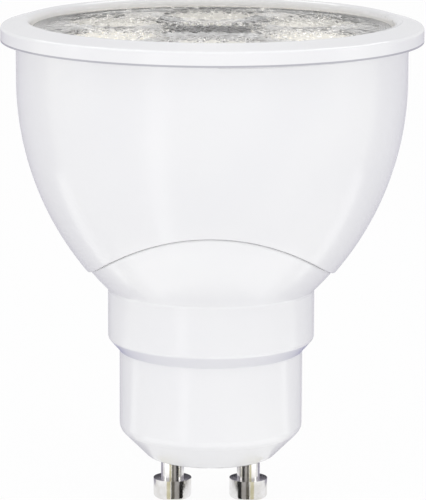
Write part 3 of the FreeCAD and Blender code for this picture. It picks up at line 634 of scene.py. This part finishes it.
# A narrow spot straight above, a little smaller than the lens's face, which lights the board and the cup.
spot_rise = 0.7
spot_r = 0.9 * face_r
snoot = bpy.data.lights.new("lens_spot", "SPOT")
snoot.spot_size = 2 * math.atan(spot_r / spot_rise)
snoot.spot_blend = 0.2
snoot.shadow_soft_size = 0.003
snoot.energy = 4.0
spot = bpy.data.objects.new("lens_spot", snoot)
spot.location = (0, 0, top_z + spot_rise)
bpy.context.scene.collection.objects.link(spot)


def stand_in_gloss(name, points, faces, shader_kind, settings):
    """Studio card that is only seen as a reflection in glossy surfaces."""
    mesh = bpy.data.meshes.new(name)
    mesh.from_pydata(points, [], faces)
    card = bpy.data.objects.new(name, mesh)
    bpy.context.scene.collection.objects.link(card)
    card.visible_camera = False
    card.visible_diffuse = False
    card.visible_transmission = False
    card.visible_shadow = False
    paper, tree = new_material(name + "_paper")
    surface = add_node(tree, shader_kind, settings)
    add_node(tree, "OutputMaterial", {}, {"Surface": surface.outputs[0]})
    mesh.materials.append(paper)


# A grey-violet card bent round the back and along the table, which darkens the plastic's glancing edges.
card_r = 130 * mm
card_inner_r = 12 * mm
card_height = 56 * mm
card_z = floor_z + 0.2 * mm
turns = [math.radians(angle) for angle in range(12, 169, 12)]
profile = [(card_inner_r, card_z), (card_r, card_z), (card_r, floor_z + card_height)]
points = [(r * math.cos(a), r * math.sin(a), z) for a in turns for r, z in profile]
faces = [(i, i + 3, i + 4, i + 1) for i in range(3 * len(turns) - 3) if i % 3 < 2]
stand_in_gloss("back_card", points, faces, "BsdfDiffuse", {"Color": linear("#c0bdca")})

# A bright strip high behind the lamp, which sparkles in the lens's pillows.
light_r = 0.3
low_z, high_z = (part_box("lens")[1][2] + light_r * math.tan(math.radians(rise)) for rise in (46, 60))
turns = [math.radians(angle) for angle in range(40, 141, 10)]
points = [(light_r * math.cos(a), light_r * math.sin(a), z) for a in turns for z in (low_z, high_z)]
faces = [(i, i + 2, i + 3, i + 1) for i in range(0, 2 * len(turns) - 2, 2)]
stand_in_gloss("back_light", points, faces, "Emission", {"Strength": 3.8})

strip_lift = 0.3 * mm


def table_strip(name, angle, near, far, half_width, strength):
    """Bright strip along the table at this angle left of the camera, for a streak down the glossy plastic."""
    turn = math.radians(-90 - angle)
    along = (math.cos(turn), math.sin(turn))
    points = [(d * along[0] - half * along[1], d * along[1] + half * along[0], floor_z + strip_lift)
              for d, half in ((near, half_width), (near, -half_width), (far, -half_width * far / near),
                              (far, half_width * far / near))]
    stand_in_gloss(name, points, [(0, 1, 2, 3)], "Emission", {"Strength": strength})


table_strip("streak_strip", angle=31, near=30 * mm, far=500 * mm, half_width=3 * mm, strength=1.7)
table_strip("left_band_strip", angle=104, near=30 * mm, far=110 * mm, half_width=3 * mm, strength=1.4)
table_strip("right_band_strip", angle=-99, near=30 * mm, far=110 * mm, half_width=3 * mm, strength=1.4)


def ring_card(name, start, stop, inner_r, outer_r, z, settings):
    """Flat ring round the lamp's axis, from one angle to another, that is only seen as a reflection."""
    turns = [math.radians(angle) for angle in range(start, stop + 1, 10)]
    points = [(r * math.cos(a), r * math.sin(a), z) for a in turns for r in (inner_r, outer_r)]
    faces = [(i, i + 2, i + 3, i + 1) for i in range(0, len(points) - 2, 2)]
    stand_in_gloss(name, points, faces, "Emission", settings)


# A dark violet ring close under the collar gives the chamfer above it a grey band, a bright half ring above
# the bezel draws a line of light along its outer edge, and one on the table lifts the bowl's lower part.
ring_card("collar_card", 0, 360, inner_r=12 * mm, outer_r=13.6 * mm, z=14 * mm,
          settings={"Color": linear("#4a4690"), "Strength": 1.0})
ring_card("bezel_card", 190, 350, inner_r=26 * mm, outer_r=34 * mm, z=cad_box[1][2] + 8 * mm,
          settings={"Strength": 2.6})
ring_card("foot_card", 190, 350, inner_r=17 * mm, outer_r=40 * mm, z=floor_z + 0.25 * mm,
          settings={"Strength": 1.55})

# Card strips that stand round the pins and run along the table to them, hidden under the cap. They give the
# bright nickel its bands: straw, olive, grey and black in front of each pin, and a dark one behind for the
# heads' tops.
low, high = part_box("contact_pin_right")
pin_x = (low[0] + high[0]) / 2
head_r = (high[0] - low[0]) / 2
strip_distance = 3.1 * mm
strip_foot = floor_z + 0.15 * mm
strip_top = -0.2 * mm
pin_bands = (("straw_strip", "#d8d2b2", -17.5, -5.5), ("olive_strip", "#5b584f", -3.5, 7),
             ("grey_strip", "#a8a5a2", 7, 21), ("black_strip", "#1b1a19", 21, 34))
for name, colour, start, stop in pin_bands:
    points = []
    for side in (-1, 1):
        for turn in (math.radians(start), math.radians(stop)):
            x, y = head_r * math.sin(turn), head_r * math.cos(turn)
            far_x, far_y = x + strip_distance * math.sin(2 * turn), y + strip_distance * math.cos(2 * turn)
            points += [(side * (pin_x - x), -y, strip_foot), (side * (pin_x - far_x), -far_y, strip_foot),
                       (side * (pin_x - far_x), -far_y, strip_top)]
    faces = [(0, 3, 4, 1), (1, 4, 5, 2), (6, 9, 10, 7), (7, 10, 11, 8)]
    stand_in_gloss(name, points, faces, "Emission", {"Color": linear(colour), "Strength": 1.0})
dark_y = 6 * mm
dark_inner_x, dark_outer_x = pin_x - 3 * mm, pin_x + 3 * mm
dark_low_z, dark_high_z = -3.1 * mm, -1.2 * mm
outline = ((dark_inner_x, dark_low_z), (dark_outer_x, dark_low_z), (dark_outer_x, dark_high_z),
           (dark_inner_x, dark_high_z))
points = [(side * x, dark_y, z) for side in (-1, 1) for x, z in outline]
stand_in_gloss("dark_strip", points, [(0, 1, 2, 3), (4, 5, 6, 7)], "Emission",
               {"Color": linear("#34323c"), "Strength": 1.0})

# Camera: in front and a little above, with a long lens.
# It is rolled by a quarter of a degree, because the lamp leans by about that much in the picture.
camera = bpy.data.objects.new("camera", bpy.data.cameras.new("camera"))
camera.data.sensor_width = 36
camera.data.lens = 231.4
camera.data.shift_x = -0.0021
camera.location = (0, -0.4106, 0.1076)
camera.rotation_euler = (math.radians(90 - 11.08), math.radians(-0.25), 0)
bpy.context.scene.collection.objects.link(camera)
bpy.context.scene.camera = camera
bpy.context.scene.view_settings.view_transform = "Standard"
